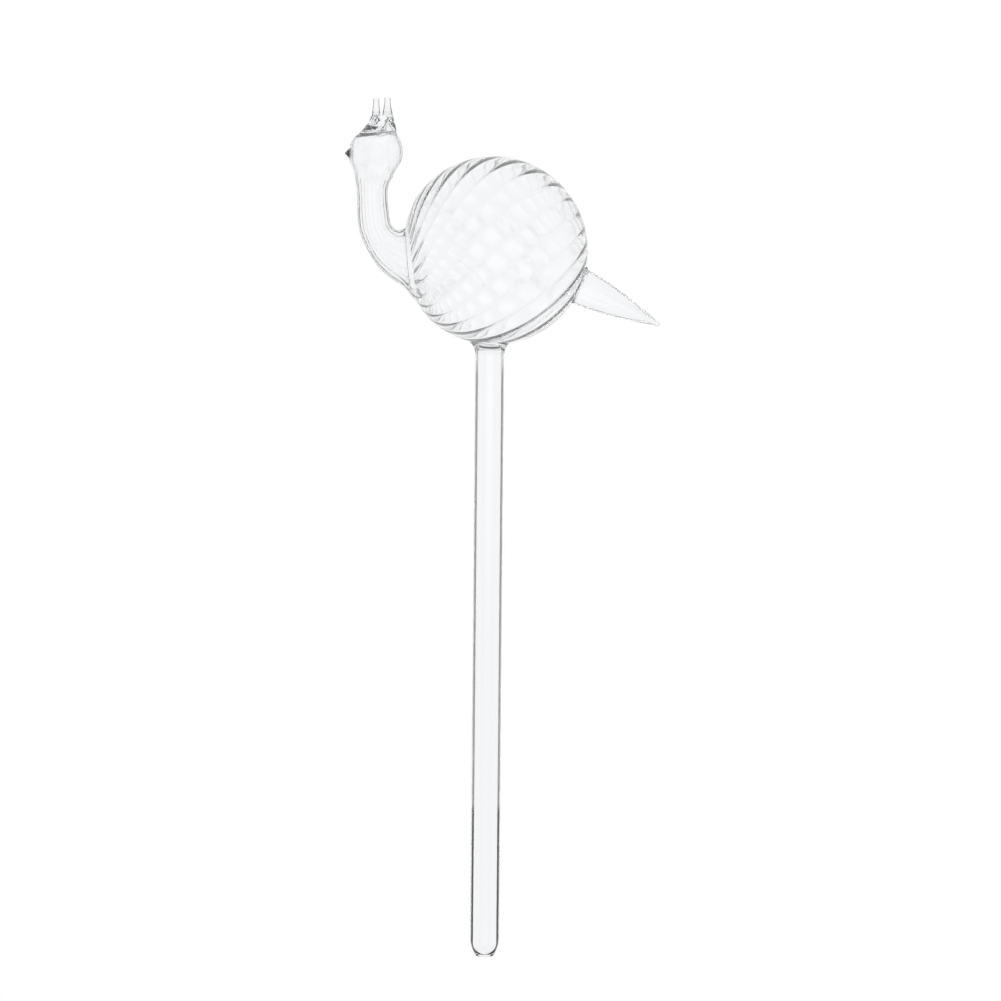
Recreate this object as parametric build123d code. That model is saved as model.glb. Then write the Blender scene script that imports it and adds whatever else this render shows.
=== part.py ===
"""Watering globe of clear blown glass, shaped as a bird on a long hollow stem.

The origin is the middle of the stem's open mouth. +Z runs up the stem, the bird faces -X,
and -Y is its left side. The stem is pushed into the soil, and the globe above it is the
reservoir. All pieces are fused glass, so nothing on it moves.
"""
from build123d import *

import os
from math import asin, cos, pi, radians, sin, sqrt

# Globe: the reservoir, blown into a ribbed optic mould
globe_radius = 30.0
globe_drift = 1.0
globe_wall = 1.15
rib_count = 22
globe_rib_depth = 0.34
pole_rib_depth = 0.06
pole_flat_radius = 1.9
pole_rise_deg = 10.0
pole_side_deg = 27.0

# Ribs' turn about the globe, in degrees, as terms of a cubic in radians from its girth
rib_turn_terms = (-8.8, 44.5, -17.1, 10.65)

# Sections of the globe, closer together by the crowding share near the neck
girth_steps = 32
crowding_share = 0.3

# Neck: bent round a crotch, whose middle stands off the globe's skin
crotch_standoff = 1.6
crotch_rise_deg = 16.5
crotch_radius = 2.65
neck_radius = 5.05
neck_height = 21.7
neck_wall = 0.9
neck_rib_depth = 0.13
junction_deg = 25.0
junction_rise_deg = 7.0

# Neck's bore where it opens into the globe, as shares of the globe's inner radius, then the
# arcs in its round sections, and how many of these its second loft takes
throat_reach_share = 0.90
throat_radius_share = 0.35
bore_arcs = 4
lower_bore_rows = 5

# Head: a bulb at the neck's upper end, whose cavity runs up into a point
head_radius = 8.6
head_wall = 1.0
solid_crown_rows = 2
peak_radius = 3.3
peak_height = 4.4
peak_set_back = 3.2
peak_tip_radius = 0.25
peak_tip_rise = 1.1

# Stem: a plain tube, drawn in at its lower end
stem_length = 193.5
stem_radius = 4.65
stem_wall = 0.9
nose_length = 6.2
mouth_radius = 3.0
mouth_bore_radius = 2.15
mouth_length = 1.8

# Collar: the flared seal between the stem and the globe
collar_height = 3.85
collar_radius = 6.3

# Tail: a hollow cone on a ring of glass, closed by a bead
tail_seat_deg = 21.9
tail_droop_deg = 25.4
tail_radius = 5.85
tail_length = 26.5
tail_wall = 0.45
tail_bulge = 0.75
tail_tip_radius = 0.75
tail_tip_wall = 1.5
weld_height = 0.45
weld_radius = 6.5
weld_wall = 1.3
bead_radius = 0.95

# Beak: a small solid cone let into the head's wall
beak_radius = 1.76
beak_length = 1.9
beak_seat_depth = 0.8
beak_tip_radius = 0.2
beak_drop = 0.35

# Crest: two spikes that grow from one gather on the crown
gather_radius = 5.6
gather_height = 6.6
gather_sink = 3.4
spike_height = 5.5
spike_tip_radius = 0.93
front_root_radius = 1.45
rear_root_radius = 1.9
spike_spread = 3.6
spike_set_back = 0.1
rear_spike_rise = 0.3

# Overrun of every cut past the face that it opens
overrun = 1.0

# Cylinders and cones are placed by the middle of their foot
by_foot = (Align.CENTER, Align.CENTER, Align.MIN)

# Places that follow from the sizes above
stem_bore_radius = stem_radius - stem_wall
collar_seat = sqrt(globe_radius**2 - collar_radius**2)
globe_middle = Vector(globe_drift, 0, stem_length + collar_height + collar_seat)
crotch_way = Vector(-cos(radians(crotch_rise_deg)), 0, sin(radians(crotch_rise_deg)))
crotch_middle = globe_middle + crotch_way * (globe_radius + crotch_standoff)
junction_radius = globe_radius * sin(radians(junction_deg))
neck_axis_x = crotch_middle.X - crotch_radius - neck_radius
head_z = crotch_middle.Z + neck_height
crown_z = head_z + head_radius

# Head from the crown down. Each row is a height over the head's middle and a radius, as
# shares of the head's radius, and between them a step forward as a share of the neck's
head_shares = (
    (0.954, -0.14, 0.25),
    (0.883, -0.12, 0.42),
    (0.757, -0.09, 0.64),
    (0.555, -0.06, 0.84),
    (0.278, -0.04, 0.97),
    (0.000, -0.03, 1.00),
    (-0.252, 0.00, 0.96),
    (-0.490, 0.03, 0.845),
    (-0.669, 0.06, 0.765),
    (-0.858, 0.09, 0.704),
)

# Neck below it. Each row is a height over the crotch as a share of the neck's height, then
# a step forward and a radius as shares of the neck's radius
neck_shares = (
    (0.590, 0.15, 1.090),
    (0.510, 0.18, 0.995),
    (0.410, 0.18, 0.960),
    (0.290, 0.16, 0.960),
    (0.140, 0.12, 1.000),
)

# Bend, from its upper end to the globe. Each row is the turn about the crotch in degrees,
# the way from the crotch as a share of the crotch's radius, and the share that the radius
# has widened from the neck's to that of the globe's first section
bend_shares = (
    (0, 1.08, 0.01),
    (16, 1.06, 0.02),
    (32, 1.03, 0.04),
    (46, 1.01, 0.09),
    (59, 1.00, 0.16),
    (71, 1.00, 0.27),
    (82, 1.00, 0.42),
    (91, 1.00, 0.58),
)

# Gather from its foot up. Each row is a share of its height, then its step back, its half
# length and its half width as shares of its radius
gather_shares = (
    (0.00, 0.28, 0.98, 0.85),
    (0.23, 0.19, 1.00, 0.85),
    (0.47, 0.27, 0.89, 0.72),
    (0.76, 0.33, 0.71, 0.52),
    (1.00, 0.36, 0.60, 0.38),
)


def blend(low, high, share):
    return low + (high - low) * share


def rib_turn(polar):
    """Turn of the ribs, in degrees, where the globe's polar angle is polar radians."""
    past_girth = polar - pi / 2
    return sum(term * past_girth**power for power, term in enumerate(rib_turn_terms))


neck_turn = rib_turn(radians(junction_deg))
junction_way = Vector(cos(radians(junction_rise_deg)), 0, sin(radians(junction_rise_deg)))


def upright_stations(shares, base_z, full_height, full_radius, inset, depth):
    """Level sections of the head or the neck, from its own table of shares."""
    stations = []
    for height, step, radius in shares:
        middle = Vector(neck_axis_x - step * neck_radius, 0, base_z + height * full_height)
        place = Plane(origin=middle, x_dir=(1, 0, 0), z_dir=(0, 0, -1))
        stations.append((place, radius * full_radius - inset, depth, neck_turn))
    return stations


def bend_stations(inset):
    """Sections fanned about the crotch, from the neck to the globe."""
    stations = []
    for turn_deg, way, widening in bend_shares:
        turn = radians(turn_deg)
        radius = blend(neck_radius, junction_radius, widening)
        inward = Vector(cos(turn), 0, sin(turn))
        middle = crotch_middle - inward * (way * crotch_radius + radius)
        place = Plane(origin=middle, x_dir=inward, z_dir=(sin(turn), 0, -cos(turn)))
        stations.append((place, radius - inset, neck_rib_depth, neck_turn))
    return stations


def globe_plane(way, reach):
    """Plane square to a way through the globe's middle, reach back along it, with its X upward."""
    return Plane(origin=globe_middle - way * reach, x_dir=Vector(0, 0, 1) - way * way.Z, z_dir=way)


def globe_stations():
    """Round sections of the globe, from square to the neck to square to the ribs' far pole."""
    pole_rise, pole_side = radians(pole_rise_deg), radians(pole_side_deg)
    last_way = Vector(cos(pole_rise) * cos(pole_side), sin(pole_side), sin(pole_rise) * cos(pole_side))
    first = radians(junction_deg)
    last = pi - asin(pole_flat_radius / globe_radius)
    stations = []
    for step in range(girth_steps + 1):
        share = step / girth_steps
        polar = blend(first, last, share - crowding_share * share * (1 - share))
        way = (junction_way * (last - polar) + last_way * (polar - first)).normalized()
        place = globe_plane(way, globe_radius * cos(polar))
        end_depth = neck_rib_depth if polar < pi / 2 else pole_rib_depth
        depth = blend(end_depth, globe_rib_depth, sin(polar))
        stations.append((place, globe_radius * sin(polar), depth, rib_turn(polar)))
    return stations


def neck_stations(head_inset=0, neck_inset=0):
    """Sections from the crown down to the globe, drawn in by the wall for the cavity.

    The head has no ribs: they fade out at its lower end.
    """
    head_sizes = head_z, head_radius, head_radius, head_inset, 0
    neck_sizes = crotch_middle.Z, neck_height, neck_radius, neck_inset, neck_rib_depth
    head = upright_stations(head_shares, *head_sizes)
    neck = upright_stations(neck_shares, *neck_sizes)
    return head + neck + bend_stations(neck_inset)


def ribbed_section(place, radius, depth=0, turn=0, ribs=rib_count):
    """Section with round ribs and sharp valleys between them, or a plain round one of no depth."""
    pitch = 360 / ribs
    valley, crest = Vector(radius - depth, 0, 0), Vector(radius, 0, 0)
    arcs = []
    for rib in range(ribs):
        start = 90 - turn - rib * pitch
        ends = valley.rotate(Axis.Z, start), valley.rotate(Axis.Z, start - pitch)
        arcs.append(ThreePointArc(ends[0], crest.rotate(Axis.Z, start - pitch / 2), ends[1]))
    return place * make_face(arcs)


def make_shell_form():
    """The blown shell as a solid, with the ribs that run on from the neck round the globe."""
    return loft([ribbed_section(*station) for station in neck_stations() + globe_stations()])


def make_cavity():
    """The smooth hollow: a sphere in the globe, and the bore of the head and neck down into it.

    The bore is two lofts that share a section, as one that turns past a right angle twists.
    """
    inner_radius = globe_radius - globe_wall
    stations = neck_stations(head_wall, neck_wall)[solid_crown_rows:]
    rings = [ribbed_section(place, radius, ribs=bore_arcs) for place, radius, _, _ in stations]
    throat = globe_plane(junction_way, inner_radius * throat_reach_share)
    rings.append(ribbed_section(throat, inner_radius * throat_radius_share, ribs=bore_arcs))
    upper, lower = rings[:1 - lower_bore_rows], rings[-lower_bore_rows:]
    return Pos(globe_middle) * Sphere(inner_radius) + loft(upper) + loft(lower)


def make_peak():
    """The point that the head's cavity runs up into, under the rear spike."""
    foot = Vector(neck_axis_x + peak_set_back, 0, crown_z + peak_tip_rise - peak_height)
    return Plane(foot) * Cone(peak_radius, peak_tip_radius, peak_height, align=by_foot)


def turned(outline, place=Plane.XY):
    """Solid of revolution about Z, from an outline of radii and heights."""
    return place * revolve(make_face(Plane.XZ * outline), Axis.Z)


def make_stem_tube():
    """Plain tube whose lower end is drawn in to a mouth with a fire-polished lip."""
    lip = (mouth_radius - mouth_bore_radius) / 2
    mouth_out, mouth_in = (mouth_radius, lip), (mouth_bore_radius, lip)
    top_out, top_in = (stem_radius, stem_length), (stem_bore_radius, stem_length)
    nose_out, nose_in = (stem_radius, nose_length), (stem_bore_radius, nose_length)
    throat = (mouth_bore_radius, mouth_length)
    outline = Curve() + [
        ThreePointArc(mouth_out, (mouth_radius - lip, 0), mouth_in),
        Line(mouth_in, throat),
        TangentArc(nose_in, throat, tangent=(0, -1)),
        Line(nose_in, top_in),
        Line(top_in, top_out),
        Line(top_out, nose_out),
        TangentArc(nose_out, mouth_out, tangent=(0, -1)),
    ]
    return turned(outline)


def make_stem_collar(shell_form):
    """Trumpet-shaped seal, open through its middle, whose upper face fits the globe."""
    seat_z = stem_length + collar_height
    foot, flare = (stem_radius, stem_length), (collar_radius, seat_z)
    top_out, top_in = (collar_radius, seat_z + overrun), (stem_bore_radius, seat_z + overrun)
    foot_in = (stem_bore_radius, stem_length)
    outline = Curve() + [
        TangentArc(foot, flare, tangent=(0, 1)),
        Line(flare, top_out),
        Line(top_out, top_in),
        Line(top_in, foot_in),
        Line(foot_in, foot),
    ]
    return turned(outline) - shell_form


def tail_place():
    """Plane on the globe's skin whose Z is the way that the tail points."""
    seat, droop = radians(tail_seat_deg), radians(tail_droop_deg)
    origin = globe_middle + Vector(cos(seat), 0, -sin(seat)) * globe_radius
    return Plane(origin=origin, x_dir=(0, 1, 0), z_dir=(cos(droop), 0, -sin(droop)))


def make_tail_weld(shell_form):
    """Ring that joins the tail to the globe, flared where it meets the globe."""
    skin = -(globe_radius - sqrt(globe_radius**2 - weld_radius**2))
    foot, top = (weld_radius, skin), (tail_radius, weld_height)
    foot_out, foot_in = (weld_radius, skin - overrun), (weld_radius - weld_wall, skin - overrun)
    top_in = (weld_radius - weld_wall, weld_height)
    outline = Curve() + [
        TangentArc(top, foot, tangent=(0, -1)),
        Line(foot, foot_out),
        Line(foot_out, foot_in),
        Line(foot_in, top_in),
        Line(top_in, top),
    ]
    return turned(outline, tail_place()) - shell_form


def tail_arc(inset, tip_z):
    """Ends and bowed side of the tail cone, drawn in by inset."""
    base, tip = (tail_radius - inset, weld_height), (tail_tip_radius - inset, tip_z)
    middle = (base[0] + tip[0]) / 2 + tail_bulge, (weld_height + tip_z) / 2
    return base, tip, ThreePointArc(base, middle, tip)


def make_tail_cone():
    """Thin hollow cone with bowed sides, open towards the globe and solid at its tip."""
    base_out, tip_out, side_out = tail_arc(0, tail_length)
    base_in, tip_in, side_in = tail_arc(tail_wall, tail_length - tail_tip_wall)
    outline = Curve() + [
        side_out,
        Line(tip_out, (0, tail_length)),
        Line((0, tail_length), (0, tip_in[1])),
        Line((0, tip_in[1]), tip_in),
        side_in,
        Line(base_in, base_out),
    ]
    return turned(outline, tail_place())


def make_tail_bead(tail_cone):
    """Bead melted on the tail's tip."""
    rise = tail_length + sqrt(bead_radius**2 - tail_tip_radius**2)
    return tail_place() * Pos(0, 0, rise) * Sphere(bead_radius) - tail_cone


def make_beak():
    """Solid cone whose foot is let into the front of the head."""
    foot = Vector(neck_axis_x - head_radius + beak_seat_depth, 0, head_z - beak_drop)
    cone = Cone(beak_radius, beak_tip_radius, beak_length, align=by_foot)
    return Plane(origin=foot, z_dir=(-1, 0, 0)) * cone


def make_crest_gather(shell_form, peak):
    """Mound of solid glass on the crown, longer than wide, drawn in towards the spikes."""
    rings = []
    for height, step, half_length, half_width in gather_shares:
        x = neck_axis_x + step * gather_radius
        z = crown_z - gather_sink + height * gather_height
        rings.append(Pos(x, 0, z) * Ellipse(half_length * gather_radius, half_width * gather_radius))
    return loft(rings) - shell_form - peak


def make_spike(x, root_radius, height):
    """Drawn rod with a flared root, which stands on the gather's top and is cut off square."""
    root_z = crown_z - gather_sink + gather_height
    root, tip = (root_radius, 0), (spike_tip_radius, height)
    outline = Curve() + [
        TangentArc(tip, root, tangent=(0, -1)),
        Line(root, (0, 0)),
        Line((0, 0), (0, height)),
        Line((0, height), tip),
    ]
    return turned(outline, Plane((x, 0, root_z)))


def make_all():
    """Every piece of the globe by its node's name."""
    shell_form, peak, beak = make_shell_form(), make_peak(), make_beak()
    passage_height = collar_height + globe_wall + overrun
    passage = Pos(0, 0, stem_length) * Cylinder(stem_bore_radius, passage_height, align=by_foot)
    tail_cone = make_tail_cone()
    front_x = neck_axis_x + spike_set_back
    rear_height = spike_height + rear_spike_rise
    return {
        "blown_body": shell_form - make_cavity() - passage - peak - beak,
        "crest_gather": make_crest_gather(shell_form, peak),
        "crest_spike_front": make_spike(front_x, front_root_radius, spike_height),
        "crest_spike_rear": make_spike(front_x + spike_spread, rear_root_radius, rear_height),
        "beak": beak,
        "tail_weld": make_tail_weld(shell_form),
        "tail_cone": tail_cone,
        "tail_bead": make_tail_bead(tail_cone),
        "stem_collar": make_stem_collar(shell_form),
        "stem_tube": make_stem_tube(),
    }


os.makedirs("parts", exist_ok=True)
for name, piece in make_all().items():
    export_step(piece, f"parts/{name}.step")
    print(name, "volume", round(piece.volume), "mm3")
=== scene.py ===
"""Looks of the watering globe: its pieces in clear glass, the studio round it and the camera.

Lengths are in millimetres up to the point where a mesh is written, and angles in degrees.
"""
from math import asin, cos, hypot, pi, radians, sin, sqrt, tan

import bpy
import numpy as np
from mathutils import Matrix, Vector


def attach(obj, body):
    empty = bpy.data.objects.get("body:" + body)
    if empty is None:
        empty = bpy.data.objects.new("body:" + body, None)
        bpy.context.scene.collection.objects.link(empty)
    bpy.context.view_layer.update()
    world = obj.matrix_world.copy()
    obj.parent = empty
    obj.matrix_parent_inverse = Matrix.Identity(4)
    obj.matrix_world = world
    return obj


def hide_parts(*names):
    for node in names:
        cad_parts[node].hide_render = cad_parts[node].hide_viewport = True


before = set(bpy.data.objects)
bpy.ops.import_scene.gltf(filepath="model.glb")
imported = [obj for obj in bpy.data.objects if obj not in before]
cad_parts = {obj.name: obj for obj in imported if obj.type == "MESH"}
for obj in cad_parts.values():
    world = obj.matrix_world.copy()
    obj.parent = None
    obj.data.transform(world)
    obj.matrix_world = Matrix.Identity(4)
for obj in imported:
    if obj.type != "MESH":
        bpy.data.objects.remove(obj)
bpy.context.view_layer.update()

mm = 0.001

# Globe, with the sizes of the solids that the glass stands for, up to the spikes
globe_radius = 30.0
globe_drift = 1.0
globe_wall = 1.15
rib_count = 22
globe_rib_depth = 0.34
neck_rib_depth = 0.13
pole_rib_depth = 0.06
pole_rise_deg = 10.0
pole_side_deg = 27.0
solid_pole_radius = 1.9
last_section_deg = 179.0
rib_turn_terms = (-8.8, 44.5, -17.1, 10.65)

# Neck and head, and how far the globe is drawn in and down where the neck runs into it
crotch_standoff = 1.6
crotch_rise_deg = 16.5
crotch_radius = 2.65
neck_radius = 5.05
neck_height = 21.7
neck_wall = 0.9
junction_deg = 25.0
junction_rise_deg = 7.0
drawn_over_deg = 18.0
drawn_in = 0.575
drawn_down = 0.325
head_radius = 8.6
head_wall = 1.0
crown_deg = 38.0

# Stem and collar. The bore narrows nearer to the mouth than in the solid
stem_length = 193.5
stem_radius = 4.65
stem_wall = 0.9
nose_length = 6.2
mouth_radius = 3.0
mouth_bore_radius = 2.15
mouth_length = 0.9
bore_nose_length = 4.4
collar_height = 3.85
collar_radius = 6.3

# Tail
tail_seat_deg = 21.9
tail_droop_deg = 25.4
tail_radius = 5.85
tail_length = 26.5
tail_wall = 0.45
tail_bulge = 0.75
tail_tip_radius = 0.75
tail_tip_wall = 1.5
weld_height = 0.45
weld_radius = 6.5
weld_wall = 1.3
bead_radius = 0.95

# Beak
beak_radius = 1.76
beak_length = 1.9
beak_seat_depth = 0.8
beak_shoulder = 0.45
beak_tip_radius = 0.2
beak_dome = 0.8
beak_dome_lean = 1.2
beak_drop = 0.1

# Gather and spikes
gather_radius = 5.6
gather_height = 6.6
gather_sink = 3.4
spike_height = 5.5
spike_tip_radius = 0.93
front_root_radius = 1.45
rear_root_radius = 1.9
spike_spread = 3.6
spike_set_back = 0.1
rear_spike_rise = 0.3
front_root_depth = 4.6
rear_root_depth = 2.8
spike_joint_rise = 1.3
spike_foot_sink = 0.5

# Radius of the ring that ends a point, since a turned outline keeps nothing on the axis
point_radius = 0.05

# Overlap at each fused joint, so that light passes it as in one glass, and every cut's overrun
fuse = 0.02
overrun = 1.0

# Points round a rib, as shares of its pitch from one valley to the next. The ribs are on both
# faces of the shell, each with a share of the depth that the solid has outside
rib_points = (
    0, 0.015, 0.045, 0.09, 0.15, 0.23, 0.34, 0.5, 0.66, 0.77, 0.85, 0.91, 0.955, 0.985,
)
rib_power = 3
outer_rib_share = 0.2
inner_rib_share = 0.6

# How finely the meshes are drawn
neck_rings = 110
globe_rings = 110
stem_rings = 40
tail_rings = 40
gather_rings = 24
round_points = 128
arc_steps = 16
nose_steps = 24
lip_steps = 12
tip_steps = 6
crease_deg = 38.0

# Glass
glass_ior = 1.47
wave_scale = 180
wave_stretch = 0.15
wave_detail = 2
wave_height = 0.01

# Painted shade at the edges of the glass: where light would be totally reflected inside it, the
# glass is painted black and lets less through. How far a wall is turned from the ray is told by
# 1 - cosine: the painted shade starts at the critical angle, and past a second, larger turn only a
# part of it is left. It is full low in the stem, weaker higher up and weakest above the stem. The
# solid rods of the spikes get the painted shade from a smaller turn on
edge_shade_from = 0.265
edge_shade_soft = 0.01
edge_shade_to = 0.38
edge_shade_end_soft = 0.03
edge_shade_past_end = 0.3
low_stem_shade = 1.0
stem_shade = 0.76
high_shade_share = 0.32
low_stem_top = (46, 50)
stem_top = (186, 194)
rod_turn = 0.09
rod_shade = 0.5
rod_fade = 1

# Surroundings: a pale field with a narrow dark ring round each of four level axes, which is
# lighter below the horizon where the rings of two axes come near each other
wall_level = 0.93
glow_deg = 6
ring_deg = 40
ring_half_deg = 1.5
ring_soft_deg = 1.5
ring_level = 0.05
corner_lift = 0.5
corner_width = (0.16, 0.34)
horizon = (-0.05, 0.05)

# Floor and lamp
floor_radius = 85
floor_z = -20
floor_depth = 5
floor_points = 64
floor_grey = 0.9
floor_roughness = 0.9
floor_glow = 0.5
lamp_place = (-700, -500, 900)
lamp_target = (0, 0, 150)
lamp_size = 600
lamp_watts = 4

# Camera: it looks at a point of the object's own plane, a little down and a little rolled
camera_target = (3.85, 0, 146.85)
camera_distance = 1100
camera_pitch_deg = 2.6
camera_roll_deg = 0.52
seen_width = 320.7
sensor_width = 36

# Places that follow from the sizes above
stem_bore_radius = stem_radius - stem_wall
collar_seat = sqrt(globe_radius**2 - collar_radius**2)
globe_middle = np.array((globe_drift, 0, stem_length + collar_height + collar_seat))
crotch_rise = radians(crotch_rise_deg)
crotch_way = np.array((-cos(crotch_rise), 0, sin(crotch_rise)))
crotch_middle = globe_middle + crotch_way * (globe_radius + crotch_standoff)
junction_radius = globe_radius * sin(radians(junction_deg))
neck_axis_x = crotch_middle[0] - crotch_radius - neck_radius
head_z = crotch_middle[2] + neck_height
crown_z = head_z + head_radius
crest_z = crown_z - gather_sink + gather_height

# Head and neck: a height, a step forward and a radius, all as shares
head_shares = (
    (0.757, -0.09, 0.64),
    (0.555, -0.06, 0.84),
    (0.278, -0.04, 0.97),
    (0.000, -0.03, 1.00),
    (-0.252, 0.00, 0.96),
    (-0.490, 0.03, 0.845),
    (-0.669, 0.06, 0.765),
    (-0.858, 0.09, 0.704),
)
neck_shares = (
    (0.590, 0.15, 1.090),
    (0.510, 0.18, 0.995),
    (0.410, 0.18, 0.960),
    (0.290, 0.16, 0.960),
    (0.140, 0.12, 1.000),
)

# Bend of the neck: the way along the notch and the lean of a section in degrees, its distance
# from the notch's middle and its widening towards the globe, both as shares
bend_shares = (
    (0, 0, 1.08, 0.010),
    (16, 16, 1.06, 0.005),
    (32, 32, 1.03, 0.022),
    (46, 46, 1.01, 0.070),
    (59, 59, 1.00, 0.151),
    (71, 71, 1.00, 0.246),
    (82, 82, 1.00, 0.357),
    (93, 93.7, 1.00, 0.514),
    (108, 95.0, 1.00, 0.596),
    (125, 95.2, 1.00, 0.686),
    (142, 95.4, 1.00, 0.794),
)

# Crown of the head above its own sections, and its hollow up to the point under the rear
# spike. Each row is a height over the head's middle, a step back and a radius
crown_rows = (
    (8.20, 0.70, 2.15),
    (7.60, 0.60, 3.61),
)
peak_rows = (
    (9.75, 3.50, 0.06),
    (9.30, 3.42, 0.42),
    (8.40, 3.25, 1.25),
    (7.40, 3.10, 2.10),
    (6.65, 2.85, 2.75),
    (6.15, 2.05, 3.95),
    (5.55, 1.20, 5.10),
)

# Gather: a height, a step back, half a length and half a width, all as shares
gather_shares = (
    (0.00, 0.28, 0.98, 0.85),
    (0.23, 0.19, 1.00, 0.85),
    (0.47, 0.27, 0.89, 0.72),
    (0.76, 0.33, 0.71, 0.52),
    (1.00, 0.375, 0.635, 0.36),
)


def blend(low, high, share):
    return low + (high - low) * share


def ease(share):
    """Smooth step from 0 to 1."""
    share = min(max(share, 0), 1)
    return share * share * (3 - 2 * share)


def unit(way):
    return way / np.linalg.norm(way)


# Meshes

def smooth_rows(rows, count):
    """Evenly spaced rows on a smooth curve through rows, by the way of their first 4 columns."""
    rows = np.array(rows, float)
    steps = np.linalg.norm(np.diff(rows[:, :4], axis=0), axis=1)
    way = np.concatenate(([0], np.cumsum(steps)))
    slopes = np.gradient(rows, way, axis=0)
    found = []
    for place in np.linspace(0, way[-1], count):
        at = min(np.searchsorted(way, place, side="right") - 1, len(rows) - 2)
        span = way[at + 1] - way[at]
        f = (place - way[at]) / span
        found.append(
            rows[at] * (2 * f**3 - 3 * f**2 + 1) + rows[at + 1] * (3 * f**2 - 2 * f**3)
            + slopes[at] * span * (f**3 - 2 * f**2 + f) + slopes[at + 1] * span * (f**3 - f**2)
        )
    return np.array(found)


def ring_faces(rows, points, closed):
    """Faces between neighbouring rings of points, and from the last to the first if closed."""
    faces = []
    for row in range(rows if closed else rows - 1):
        low, high = row * points, (row + 1) % rows * points
        for point in range(points):
            after = (point + 1) % points
            faces.append((low + point, low + after, high + after, high + point))
    return faces


def flipped(shape):
    places, faces = shape
    return places, [tuple(reversed(face)) for face in faces]


def skin(rings, closed=False):
    """Vertices and outward faces of a closed skin over rings, with a face on each end ring."""
    rings = np.array(rings)
    rows, points = rings.shape[:2]
    faces = ring_faces(rows, points, closed)
    places = rings.reshape(-1, 3)
    corners = (places - places.mean(axis=0))[np.array(faces)]
    crossed = np.cross(corners[:, 2] - corners[:, 0], corners[:, 3] - corners[:, 1])
    inside_out = (corners.mean(axis=1) * crossed).sum() < 0
    if not closed:
        faces.append(tuple(reversed(range(points))))
        faces.append(tuple(range((rows - 1) * points, rows * points)))
    return flipped((places, faces)) if inside_out else (places, faces)


def new_piece(name, *skins):
    """Mesh object of one or more closed skins, with its faces turned outwards."""
    places, faces, start = [], [], 0
    for skin_places, skin_faces in skins:
        places.append(skin_places)
        faces += [tuple(start + corner for corner in face) for face in skin_faces]
        start += len(skin_places)
    mesh = bpy.data.meshes.new(name)
    mesh.from_pydata((np.concatenate(places) * mm).tolist(), [], faces)
    piece = bpy.data.objects.new(name, mesh)
    bpy.context.scene.collection.objects.link(piece)
    return piece


def shaped(piece, operation, *tools):
    """Piece changed by the tools, which are deleted."""
    for tool in tools:
        change = piece.modifiers.new(operation, "BOOLEAN")
        change.operation, change.solver, change.object = operation, "MANIFOLD", tool
    graph = bpy.context.evaluated_depsgraph_get()
    mesh = bpy.data.meshes.new_from_object(piece.evaluated_get(graph))
    mesh.name = piece.name
    piece.modifiers.clear()
    piece.data = mesh
    for tool in tools:
        bpy.data.objects.remove(tool)
    return piece


def cut(piece, *tools):
    return shaped(piece, "DIFFERENCE", *tools)


def arc(start, end, tangent, steps=arc_steps):
    """Points after start on the arc that leaves start along tangent and ends at end."""
    start, end, tangent = np.array(start), np.array(end), unit(np.array(tangent, float))
    chord = end - start
    side = np.array((-tangent[1], tangent[0]))
    half_turn = np.arctan2(chord @ side, chord @ tangent)
    points = []
    for step in range(1, steps + 1):
        turn = half_turn * step / steps
        reach = np.linalg.norm(chord) * sin(turn) / sin(half_turn)
        points.append(start + reach * (cos(turn) * tangent + sin(turn) * side))
    return points


def turned(outline, place=Matrix()):
    """Skin of radii and heights turned about Z. One that starts off the axis is a closed loop."""
    outline = np.array(outline)
    on_axis = outline[0][0] == 0
    kept = outline[1:-1] if on_axis else outline
    turns = np.arange(round_points) * 2 * pi / round_points
    rings = np.stack([np.stack((r * np.cos(turns), r * np.sin(turns), 0 * turns + z), axis=1)
                      for r, z in kept])
    rotation, origin = np.array(place.to_3x3()), np.array(place.translation)
    return skin(rings @ rotation.T + origin, closed=not on_axis)


def placed(origin, z_way, x_way):
    """Matrix whose Z points along z_way and whose X lies nearest to x_way."""
    z_way = unit(np.array(z_way, float))
    x_way = unit(np.array(x_way, float) - z_way * (z_way @ np.array(x_way, float)))
    columns = [Vector(x_way), Vector(np.cross(z_way, x_way)), Vector(z_way)]
    matrix = Matrix(columns).transposed().to_4x4()
    matrix.translation = Vector(origin)
    return matrix


# Blown body

def rib_turn(polar):
    """Degrees that the ribs have turned by at a polar angle."""
    past_girth = polar - pi / 2
    return sum(term * past_girth**power for power, term in enumerate(rib_turn_terms))


def upright_rows(shares, base_z, full_height, full_radius, inset, depth):
    return [
        (neck_axis_x - step * neck_radius, 0, base_z + height * full_height,
         radius * full_radius - inset, 0, depth)
        for height, step, radius in shares
    ]


def bend_rows(inset):
    rows = []
    for arc_deg, turn_deg, way, widening in bend_shares:
        turn, arc_turn = radians(turn_deg), radians(arc_deg)
        radius = blend(neck_radius, junction_radius, widening)
        arc_way = np.array((cos(arc_turn), 0, sin(arc_turn)))
        inward = np.array((cos(turn), 0, sin(turn)))
        middle = crotch_middle - arc_way * way * crotch_radius - inward * radius
        rows.append((*middle, radius - inset, turn_deg, neck_rib_depth))
    return rows


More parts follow.
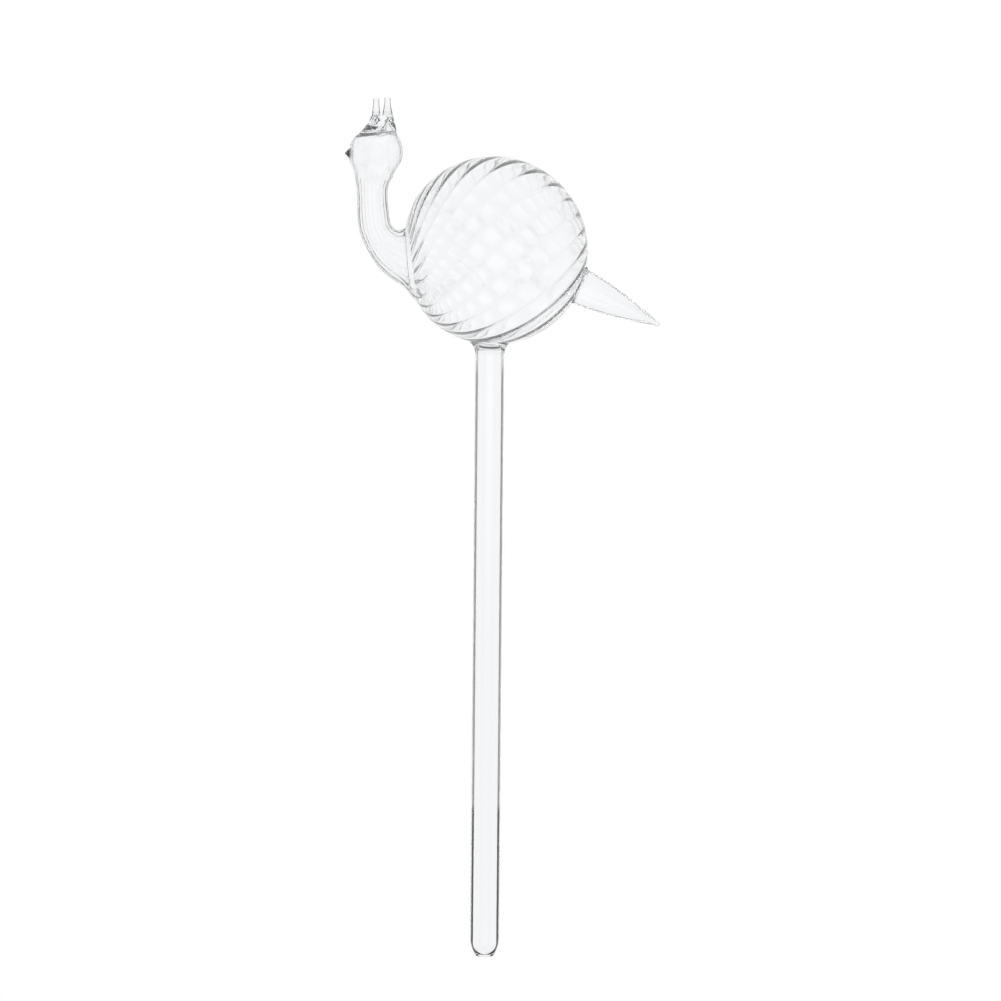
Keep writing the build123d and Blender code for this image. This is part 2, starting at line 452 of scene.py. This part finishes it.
def globe_ring(share, last, reach_radius):
    """Way, middle, radius and polar angle of a section of the globe."""
    first = radians(junction_deg)
    polar = blend(first, last, share)
    rise, side = radians(pole_rise_deg), radians(pole_side_deg)
    last_way = np.array((cos(rise) * cos(side), sin(side), sin(rise) * cos(side)))
    first_rise = radians(junction_rise_deg)
    first_way = np.array((cos(first_rise), 0, sin(first_rise)))
    # The sections turn from square to the neck to square to the pole over the same way
    # that the solid's do, whatever the last of them is
    far = pi - asin(solid_pole_radius / globe_radius)
    lean = min((polar - first) / (far - first), 1)
    way = unit(first_way * (1 - lean) + last_way * lean)
    # Near the neck the globe is drawn in a little, most of all under the crotch
    drawn = 1 - ease((polar - first) / radians(drawn_over_deg))
    reach_radius -= drawn_in * drawn
    upward = unit(np.array((0, 0, 1)) - way * way[2])
    middle = globe_middle - way * reach_radius * cos(polar) - upward * drawn_down * drawn
    return way, middle, reach_radius * sin(polar), polar


def neck_rows(head_inset, neck_inset, sphere_radius):
    """Rows of the head, neck and bend, and the first of the globe's, to be made smooth."""
    rows = upright_rows(head_shares, head_z, head_radius, head_radius, head_inset, 0)
    # The hollow has its own top rows in place of the highest of the head
    if head_inset > 0:
        rows = rows[1:]
    rows += upright_rows(
        neck_shares, crotch_middle[2], neck_height, neck_radius, neck_inset, neck_rib_depth)
    rows += bend_rows(neck_inset)
    way, middle, radius, _ = globe_ring(0, pi, sphere_radius)
    return rows + [(*middle, radius, 90 + junction_rise_deg, neck_rib_depth)]


def ring(middle, x_way, y_way, radii, angles_deg):
    angles = np.radians(angles_deg)
    return (middle + np.outer(radii * np.cos(angles), x_way)
            + np.outer(radii * np.sin(angles), y_way))


def rib_round(radius, depth, turn_deg):
    """Radii and angles of the points round one ribbed section, for a depth in or out."""
    pitch = 360 / rib_count
    shares = np.tile(rib_points, rib_count)
    ribs = np.repeat(np.arange(rib_count), len(rib_points))
    radii = radius - depth * np.abs(2 * shares - 1) ** rib_power
    return radii, 90 - turn_deg - (ribs + shares) * pitch


def body_rings(rib_share, head_inset, neck_inset, sphere_radius, top_rows):
    """Rings from the top rows, over the head's middle, down to the globe's far pole."""
    neck_turn = rib_turn(radians(junction_deg))
    rows = [(neck_axis_x + back, 0, head_z + height, radius, 0, 0)
            for height, back, radius in top_rows]
    rows += neck_rows(head_inset, neck_inset, sphere_radius)
    smooth = smooth_rows(rows, neck_rings)
    rings = []
    for x, y, z, radius, turn_deg, depth in smooth[:-1]:
        turn = radians(turn_deg)
        x_way = np.array((cos(turn), 0, sin(turn)))
        radii, angles = rib_round(radius, rib_share * depth, neck_turn)
        rings.append(ring(np.array((x, y, z)), x_way, np.array((0, -1, 0)), radii, angles))
    for step in range(globe_rings):
        way, middle, radius, polar = globe_ring(
            step / globe_rings, radians(last_section_deg), sphere_radius)
        x_way = unit(np.array((0, 0, 1)) - way * way[2])
        end_depth = neck_rib_depth if polar < pi / 2 else pole_rib_depth
        depth = blend(end_depth, globe_rib_depth, sin(polar))
        radii, angles = rib_round(radius, rib_share * depth, rib_turn(polar))
        rings.append(ring(middle, x_way, np.cross(way, x_way), radii, angles))
    return rings


def outer_skin(outset=0):
    crown = [(height, back, radius + outset) for height, back, radius in crown_rows]
    return skin(body_rings(
        outer_rib_share, -outset, -outset, globe_radius + outset, crown))


def inner_skin():
    return skin(body_rings(
        -inner_rib_share, head_wall, neck_wall, globe_radius - globe_wall, peak_rows))


def crown_tool(rise):
    """Cone up from the head's middle, which marks off the part of it under the gather."""
    tall = head_radius + gather_height
    wide = tall * tan(radians(crown_deg))
    return new_piece("crown_tool", turned(
        ((0, 0), (point_radius, 0), (wide, tall), (0, tall)),
        Matrix.Translation((neck_axis_x, 0, head_z + rise))))


def make_body():
    body = new_piece("body_glass", outer_skin(), flipped(inner_skin()))
    top = stem_length + collar_height + globe_wall + overrun
    passage = new_piece("passage", turned((
        (0, stem_length), (stem_bore_radius, stem_length), (stem_bore_radius, top), (0, top))))
    return cut(body, passage, new_piece("seat", beak_skin(-fuse)), crown_tool(-fuse))


# The pieces fused to it

def beak_skin(outset=0):
    """Skin of the beak, a blunt cone with a short straight shoulder."""
    foot = (neck_axis_x - head_radius + beak_seat_depth, 0, head_z - beak_drop)
    place = placed(foot, (-1, 0, 0), (0, 1, 0))
    root, tip = beak_radius + outset, beak_tip_radius + outset
    outline = [(0, -outset), (root, -outset)]
    outline += [(blend(root, tip, share), blend(beak_shoulder, beak_length, share))
                for share in (0, 0.25, 0.5, 0.75)]
    outline += arc((tip, beak_length), (0, beak_length + tip * beak_dome),
                   (-tip, tip * beak_dome_lean), tip_steps)
    return turned(outline, place)


def make_stem_tube():
    lip = (mouth_radius - mouth_bore_radius) / 2
    mouth_out, mouth_in = (mouth_radius, lip), (mouth_bore_radius, lip)
    throat = (mouth_bore_radius, mouth_length)
    top = stem_length + fuse
    rise = np.linspace(nose_length, top, stem_rings)
    bore_nose = (stem_bore_radius, bore_nose_length)
    outline = [mouth_out]
    outline += arc(mouth_out, mouth_in, (0, -1), lip_steps)
    outline += [throat]
    outline += list(reversed(arc(bore_nose, throat, (0, -1), nose_steps)[:-1]))
    outline += [(stem_bore_radius, z) for z in rise]
    outline += [(stem_radius, z) for z in reversed(rise)]
    outline += arc((stem_radius, nose_length), mouth_out, (0, -1), nose_steps)[:-1]
    return new_piece("stem_glass", turned(outline))


def make_stem_collar(shell):
    seat_z = stem_length + collar_height
    foot, flare = (stem_radius, stem_length - fuse), (collar_radius, seat_z)
    outline = [foot]
    outline += arc(foot, flare, (0, 1))
    outline += [(collar_radius, seat_z + overrun), (stem_bore_radius, seat_z + overrun)]
    outline += [(stem_bore_radius, stem_length - fuse)]
    return cut(new_piece("collar_glass", turned(outline)), shell)


def tail_place():
    """Place on the globe that the tail grows from."""
    seat, droop = radians(tail_seat_deg), radians(tail_droop_deg)
    origin = globe_middle + np.array((cos(seat), 0, -sin(seat))) * globe_radius
    return placed(origin, (cos(droop), 0, -sin(droop)), (0, 1, 0))


def make_tail_weld(shell):
    sink = -(globe_radius - sqrt(globe_radius**2 - weld_radius**2))
    foot, top = (weld_radius, sink), (tail_radius, weld_height + fuse)
    hole = weld_radius - weld_wall
    outline = [top]
    outline += arc(top, foot, (0, -1))
    outline += [(weld_radius, sink - overrun), (hole, sink - overrun), (hole, weld_height + fuse)]
    return cut(new_piece("tail_weld_glass", turned(outline, tail_place())), shell)


def tail_side(inset, base_z, tip_z):
    """Bowed side of the tail from its base, drawn in by inset."""
    base, tip = np.array((tail_radius - inset, base_z)), np.array((tail_tip_radius - inset, tip_z))
    middle = (base + tip) / 2 + np.array((tail_bulge, 0))
    chord = tip - base
    bow = abs(chord[0] * (middle - base)[1] - chord[1] * (middle - base)[0]) / hypot(*chord)
    half_turn = 2 * np.arctan2(2 * bow, hypot(*chord))
    along = unit(chord)
    out = np.array((along[1], -along[0]))
    return [base] + arc(base, tip, along * cos(half_turn) + out * sin(half_turn), tail_rings)


def make_tail_cone():
    outer = tail_side(0, weld_height - fuse, tail_length)
    inner = tail_side(tail_wall, weld_height - fuse, tail_length - tail_tip_wall)
    outline = [(0, tail_length - tail_tip_wall)] + list(reversed(inner)) + outer
    outline += [(0, tail_length)]
    return new_piece("tail_glass", turned(outline, tail_place()))


def make_tail_bead():
    rise = tail_length + sqrt(bead_radius**2 - tail_tip_radius**2)
    foot = tail_length - fuse
    start = asin((foot - rise) / bead_radius)
    turns = np.linspace(start, pi / 2, nose_steps)
    outline = [(0, foot)]
    outline += [(bead_radius * cos(turn), rise + bead_radius * sin(turn)) for turn in turns[:-1]]
    outline += [(0, rise + bead_radius)]
    return new_piece("bead_glass", turned(outline, tail_place()))


def make_gather(hollow, *spikes):
    """Gather on the crown of the head, in one with the crown and the roots of the spikes."""
    rows = [(step * gather_radius, height * gather_height + fuse * height,
             half_length * gather_radius, half_width * gather_radius)
            for height, step, half_length, half_width in gather_shares]
    turns = np.arange(round_points) * 2 * pi / round_points
    rings = []
    for step, height, half_length, half_width in smooth_rows(rows, gather_rings):
        x = neck_axis_x + step + half_length * np.cos(turns)
        z = np.full(round_points, crown_z - gather_sink + height)
        rings.append(np.stack((x, half_width * np.sin(turns), z), axis=1))
    gather = new_piece("gather_glass", skin(rings))
    crown = shaped(new_piece("crown", outer_skin()), "INTERSECT", crown_tool(fuse))
    shaped(gather, "UNION", crown, *(make_root(spike) for spike in spikes))
    return cut(gather, hollow, *(make_spike("spike_tool", spike, -fuse) for spike in spikes))


def spike_side(spike):
    """Flared side of a spike from its foot to its tip, and the step of its joint."""
    _, root_radius, height, _ = spike
    tip = (spike_tip_radius, height)
    side = list(reversed(arc(tip, (root_radius, 0), (0, -1), nose_steps))) + [tip]
    joint = next(at for at, (_, rise) in enumerate(side) if rise > spike_joint_rise)
    return side, joint


def make_root(spike):
    """Foot of a spike up to its joint."""
    side, joint = spike_side(spike)
    foot = (side[0][0] - fuse, -spike_foot_sink)
    outline = [(0, foot[1]), foot] + side[:joint + 1] + [(0, side[joint][1])]
    return new_piece("root", turned(outline, Matrix.Translation((spike[0], 0, crest_z))))


def make_spike(name, spike, outset=0):
    """Spike above its joint, with a pointed end that goes down into its foot."""
    side, joint = spike_side(spike)
    _, _, height, depth = spike
    side = [(radius + outset, rise) for radius, rise in side[joint:]]
    low = side[0][1] - depth - outset
    outline = [(0, low), (point_radius, low)] + side + [(0, height)]
    return new_piece(name, turned(outline, Matrix.Translation((spike[0], 0, crest_z))))


# Materials

def add_node(tree, kind, **values):
    """New node, with inputs set by name."""
    node = tree.nodes.new(kind)
    for key, value in values.items():
        node.inputs[key.replace("_", " ")].default_value = value
    return node


def maths(tree, operation, *inputs):
    """Outcome of a maths node, from numbers and sockets."""
    node = tree.nodes.new("ShaderNodeMath")
    node.operation = operation
    for at, value in enumerate(inputs):
        if isinstance(value, (int, float)):
            node.inputs[at].default_value = value
        else:
            tree.links.new(value, node.inputs[at])
    return node.outputs[0]


def ramp(tree, value, low, high, out_low, out_high):
    """Smooth change from one level to the other, between a low and a high value."""
    node = add_node(tree, "ShaderNodeMapRange", From_Min=low, From_Max=high,
                    To_Min=out_low, To_Max=out_high)
    node.interpolation_type = "SMOOTHSTEP"
    tree.links.new(value, node.inputs["Value"])
    return node.outputs["Result"]


def painted_edge_shade(tree, place):
    """Share of painted shade at the glass's edges, where light would be totally reflected inside
    it.
    """
    parts = tree.nodes.new("ShaderNodeSeparateXYZ")
    tree.links.new(place, parts.inputs["Vector"])
    height = parts.outputs["Z"]

    def over(low, high, level_below, level_above):
        return ramp(tree, height, low * mm, high * mm, level_below, level_above)

    in_rods = (crest_z, crest_z + rod_fade)
    edge = add_node(tree, "ShaderNodeLayerWeight", Blend=0.5)
    facing = maths(tree, "ADD", edge.outputs["Facing"], over(*in_rods, 0, rod_turn))
    in_edge = maths(
        tree, "MULTIPLY", ramp(tree, facing, edge_shade_from, edge_shade_from + edge_shade_soft, 0, 1),
        ramp(tree, facing, edge_shade_to, edge_shade_to + edge_shade_end_soft, 1, edge_shade_past_end))
    shade_weight = maths(tree, "MULTIPLY", over(*low_stem_top, low_stem_shade, stem_shade),
                 over(*stem_top, 1, high_shade_share))
    shade_weight = maths(tree, "ADD", shade_weight, over(*in_rods, 0, rod_shade))
    # The painted shade falls only where a ray meets a wall from inside the glass
    from_inside = tree.nodes.new("ShaderNodeNewGeometry").outputs["Backfacing"]
    return maths(tree, "MULTIPLY", maths(tree, "MULTIPLY", in_edge, shade_weight), from_inside)


def make_glass(name, colour, tint, density, roughness):
    """Glass with faint waves and drawn streaks, tinted in its thickness, with painted shade at its
    edges.
    """
    material = bpy.data.materials.new(name)
    material.use_nodes = True
    tree = material.node_tree
    shader = tree.nodes["Principled BSDF"]
    shader.inputs["Transmission Weight"].default_value = 1
    shader.inputs["IOR"].default_value = glass_ior
    shader.inputs["Roughness"].default_value = roughness
    place = tree.nodes.new("ShaderNodeTexCoord").outputs["Object"]

    # Painted shade at the edges: by its share the colour goes to black and the glass lets less
    # through
    painted_shade = painted_edge_shade(tree, place)
    shade = tree.nodes.new("ShaderNodeMix")
    shade.data_type = "RGBA"
    # Inputs 0, 6 and 7 of a mix of colours are its share and the two colours
    tree.links.new(painted_shade, shade.inputs[0])
    shade.inputs[6].default_value = (*colour, 1)
    shade.inputs[7].default_value = (0, 0, 0, 1)
    tree.links.new(shade.outputs[2], shader.inputs["Base Color"])
    tree.links.new(maths(tree, "SUBTRACT", 1, painted_shade), shader.inputs["Transmission Weight"])

    stretch = add_node(tree, "ShaderNodeMapping", Scale=(1, 1, wave_stretch))
    waves = add_node(tree, "ShaderNodeTexNoise", Scale=wave_scale, Detail=wave_detail)
    bump = add_node(tree, "ShaderNodeBump", Strength=1, Distance=wave_height * mm)
    tree.links.new(place, stretch.inputs["Vector"])
    tree.links.new(stretch.outputs["Vector"], waves.inputs["Vector"])
    tree.links.new(waves.outputs["Fac"], bump.inputs["Height"])
    tree.links.new(bump.outputs["Normal"], shader.inputs["Normal"])

    depth = add_node(tree, "ShaderNodeVolumeAbsorption", Color=(*tint, 1), Density=density)
    tree.links.new(depth.outputs["Volume"], tree.nodes["Material Output"].inputs["Volume"])
    return material


# Studio

def ring_shade(tree, x, y, z):
    """Level of the pale field with its dark rings, from a direction."""
    beside, along = maths(tree, "ABSOLUTE", x), maths(tree, "ABSOLUTE", y)
    off_axis = maths(tree, "ARCCOSINE", maths(tree, "MAXIMUM", beside, along))
    off_ring = maths(tree, "ABSOLUTE", maths(tree, "SUBTRACT", off_axis, radians(ring_deg)))
    dark = ramp(tree, off_ring, radians(ring_half_deg), radians(ring_half_deg + ring_soft_deg),
                1 - ring_level, 0)
    off_corner = maths(tree, "ABSOLUTE", maths(tree, "SUBTRACT", beside, along))
    lift = maths(tree, "MULTIPLY", ramp(tree, off_corner, *corner_width, corner_lift, 0),
                 ramp(tree, z, *horizon, 1, 0))
    ring = maths(tree, "MULTIPLY", dark, maths(tree, "SUBTRACT", 1, lift))
    field = ramp(tree, off_axis, 0, radians(glow_deg), 1, wall_level)
    return maths(tree, "MULTIPLY", field, maths(tree, "SUBTRACT", 1, ring))


def make_world():
    """White behind the object, and the pale field for light that passes through the glass."""
    world = bpy.data.worlds.new("studio")
    bpy.context.scene.world = world
    world.use_nodes = True
    tree = world.node_tree
    tree.nodes.clear()
    way = tree.nodes.new("ShaderNodeTexCoord")
    parts = tree.nodes.new("ShaderNodeSeparateXYZ")
    tree.links.new(way.outputs["Generated"], parts.inputs["Vector"])
    field = ring_shade(tree, *parts.outputs)
    # A ray that a surface mirrors meets no ring. One that glass lets through is glossy too
    path = tree.nodes.new("ShaderNodeLightPath")
    mirrored = maths(tree, "MULTIPLY", wall_level, maths(
        tree, "SUBTRACT", path.outputs["Is Glossy Ray"], path.outputs["Is Transmission Ray"]))
    level = maths(tree, "MAXIMUM", maths(tree, "MAXIMUM", field, mirrored),
                  path.outputs["Is Camera Ray"])
    light = add_node(tree, "ShaderNodeBackground", Color=(1, 1, 1, 1))
    tree.links.new(level, light.inputs["Strength"])
    output = tree.nodes.new("ShaderNodeOutputWorld")
    tree.links.new(light.outputs["Background"], output.inputs["Surface"])


def make_floor():
    """Round pale floor below the stem, lit up to the white behind it."""
    turns = np.arange(floor_points) * 2 * pi / floor_points
    top = np.stack((floor_radius * np.cos(turns), floor_radius * np.sin(turns),
                    np.full(floor_points, floor_z)), axis=1)
    floor = new_piece("floor", skin([top - (0, 0, floor_depth), top]))
    material = bpy.data.materials.new("floor_pale")
    material.use_nodes = True
    tree = material.node_tree
    shader = tree.nodes["Principled BSDF"]
    shader.inputs["Base Color"].default_value = (floor_grey, floor_grey, floor_grey, 1)
    shader.inputs["Roughness"].default_value = floor_roughness
    shader.inputs["Emission Color"].default_value = (1, 1, 1, 1)
    path = tree.nodes.new("ShaderNodeLightPath")
    tree.links.new(maths(tree, "MULTIPLY", path.outputs["Is Camera Ray"], floor_glow),
                   shader.inputs["Emission Strength"])
    floor.data.materials.append(material)


def make_lamp():
    """Soft lamp, which isn't seen mirrored in the glass."""
    data = bpy.data.lights.new("key", "AREA")
    data.size, data.energy = lamp_size * mm, lamp_watts
    lamp = bpy.data.objects.new("key", data)
    lamp.location = Vector(lamp_place) * mm
    lamp.rotation_mode = "QUATERNION"
    way = Vector(lamp_target) - Vector(lamp_place)
    lamp.rotation_quaternion = way.to_track_quat("-Z", "Y")
    lamp.visible_glossy = lamp.visible_transmission = False
    bpy.context.scene.collection.objects.link(lamp)


def make_camera():
    data = bpy.data.cameras.new("camera")
    data.sensor_width = sensor_width
    data.lens = sensor_width * camera_distance / seen_width
    camera = bpy.data.objects.new("camera", data)
    pitch = radians(camera_pitch_deg)
    back = Vector((0, -cos(pitch), sin(pitch)))
    camera.location = (Vector(camera_target) + back * camera_distance) * mm
    camera.rotation_euler = (
        (-back).to_track_quat("-Z", "Y").to_matrix()
        @ Matrix.Rotation(radians(camera_roll_deg), 3, "Z")
    ).to_euler()
    bpy.context.scene.collection.objects.link(camera)
    bpy.context.scene.camera = camera


# All together

def dress(piece, node, material):
    """Gives a piece its glass and puts it in the place of its solid."""
    piece.data.materials.clear()
    piece.data.materials.append(material)
    piece.data.shade_smooth()
    piece.data.set_sharp_from_angle(angle=radians(crease_deg))
    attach(piece, "root")
    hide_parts(node)


def make_shell_tool(outset):
    """Outer skin of the body as a tool, to cut a piece off along it."""
    return new_piece("shell_tool", outer_skin(outset))


def make_pieces():
    """All ten pieces of glass, each in the place of its solid."""
    clear = make_glass("clear_glass", colour=(0.99, 0.995, 1.0), tint=(0.90, 0.94, 1.0),
                       density=12, roughness=0.0)
    smoke = make_glass("smoke_glass", colour=(0.5, 0.5, 0.52), tint=(0.3, 0.3, 0.32),
                       density=330, roughness=0.05)
    hollow = new_piece("hollow_tool", inner_skin())
    front_x = neck_axis_x + spike_set_back
    front = (front_x, front_root_radius, spike_height, front_root_depth)
    rear = (front_x + spike_spread, rear_root_radius, spike_height + rear_spike_rise,
            rear_root_depth)
    pieces = {
        "blown_body": make_body(),
        "stem_collar": make_stem_collar(make_shell_tool(fuse)),
        "stem_tube": make_stem_tube(),
        "tail_weld": make_tail_weld(make_shell_tool(-fuse)),
        "tail_cone": make_tail_cone(),
        "tail_bead": make_tail_bead(),
        "beak": new_piece("beak_glass", beak_skin()),
        "crest_gather": make_gather(hollow, front, rear),
        "crest_spike_front": make_spike("spike_front_glass", front),
        "crest_spike_rear": make_spike("spike_rear_glass", rear),
    }
    for node, piece in pieces.items():
        dress(piece, node, smoke if node == "beak" else clear)


make_pieces()
make_world()
make_floor()
make_lamp()
make_camera()
bpy.context.scene.view_settings.view_transform = "Standard"
# Light that is totally reflected inside the glass counts as glossy
bpy.context.scene.cycles.glossy_bounces = bpy.context.scene.cycles.transmission_bounces
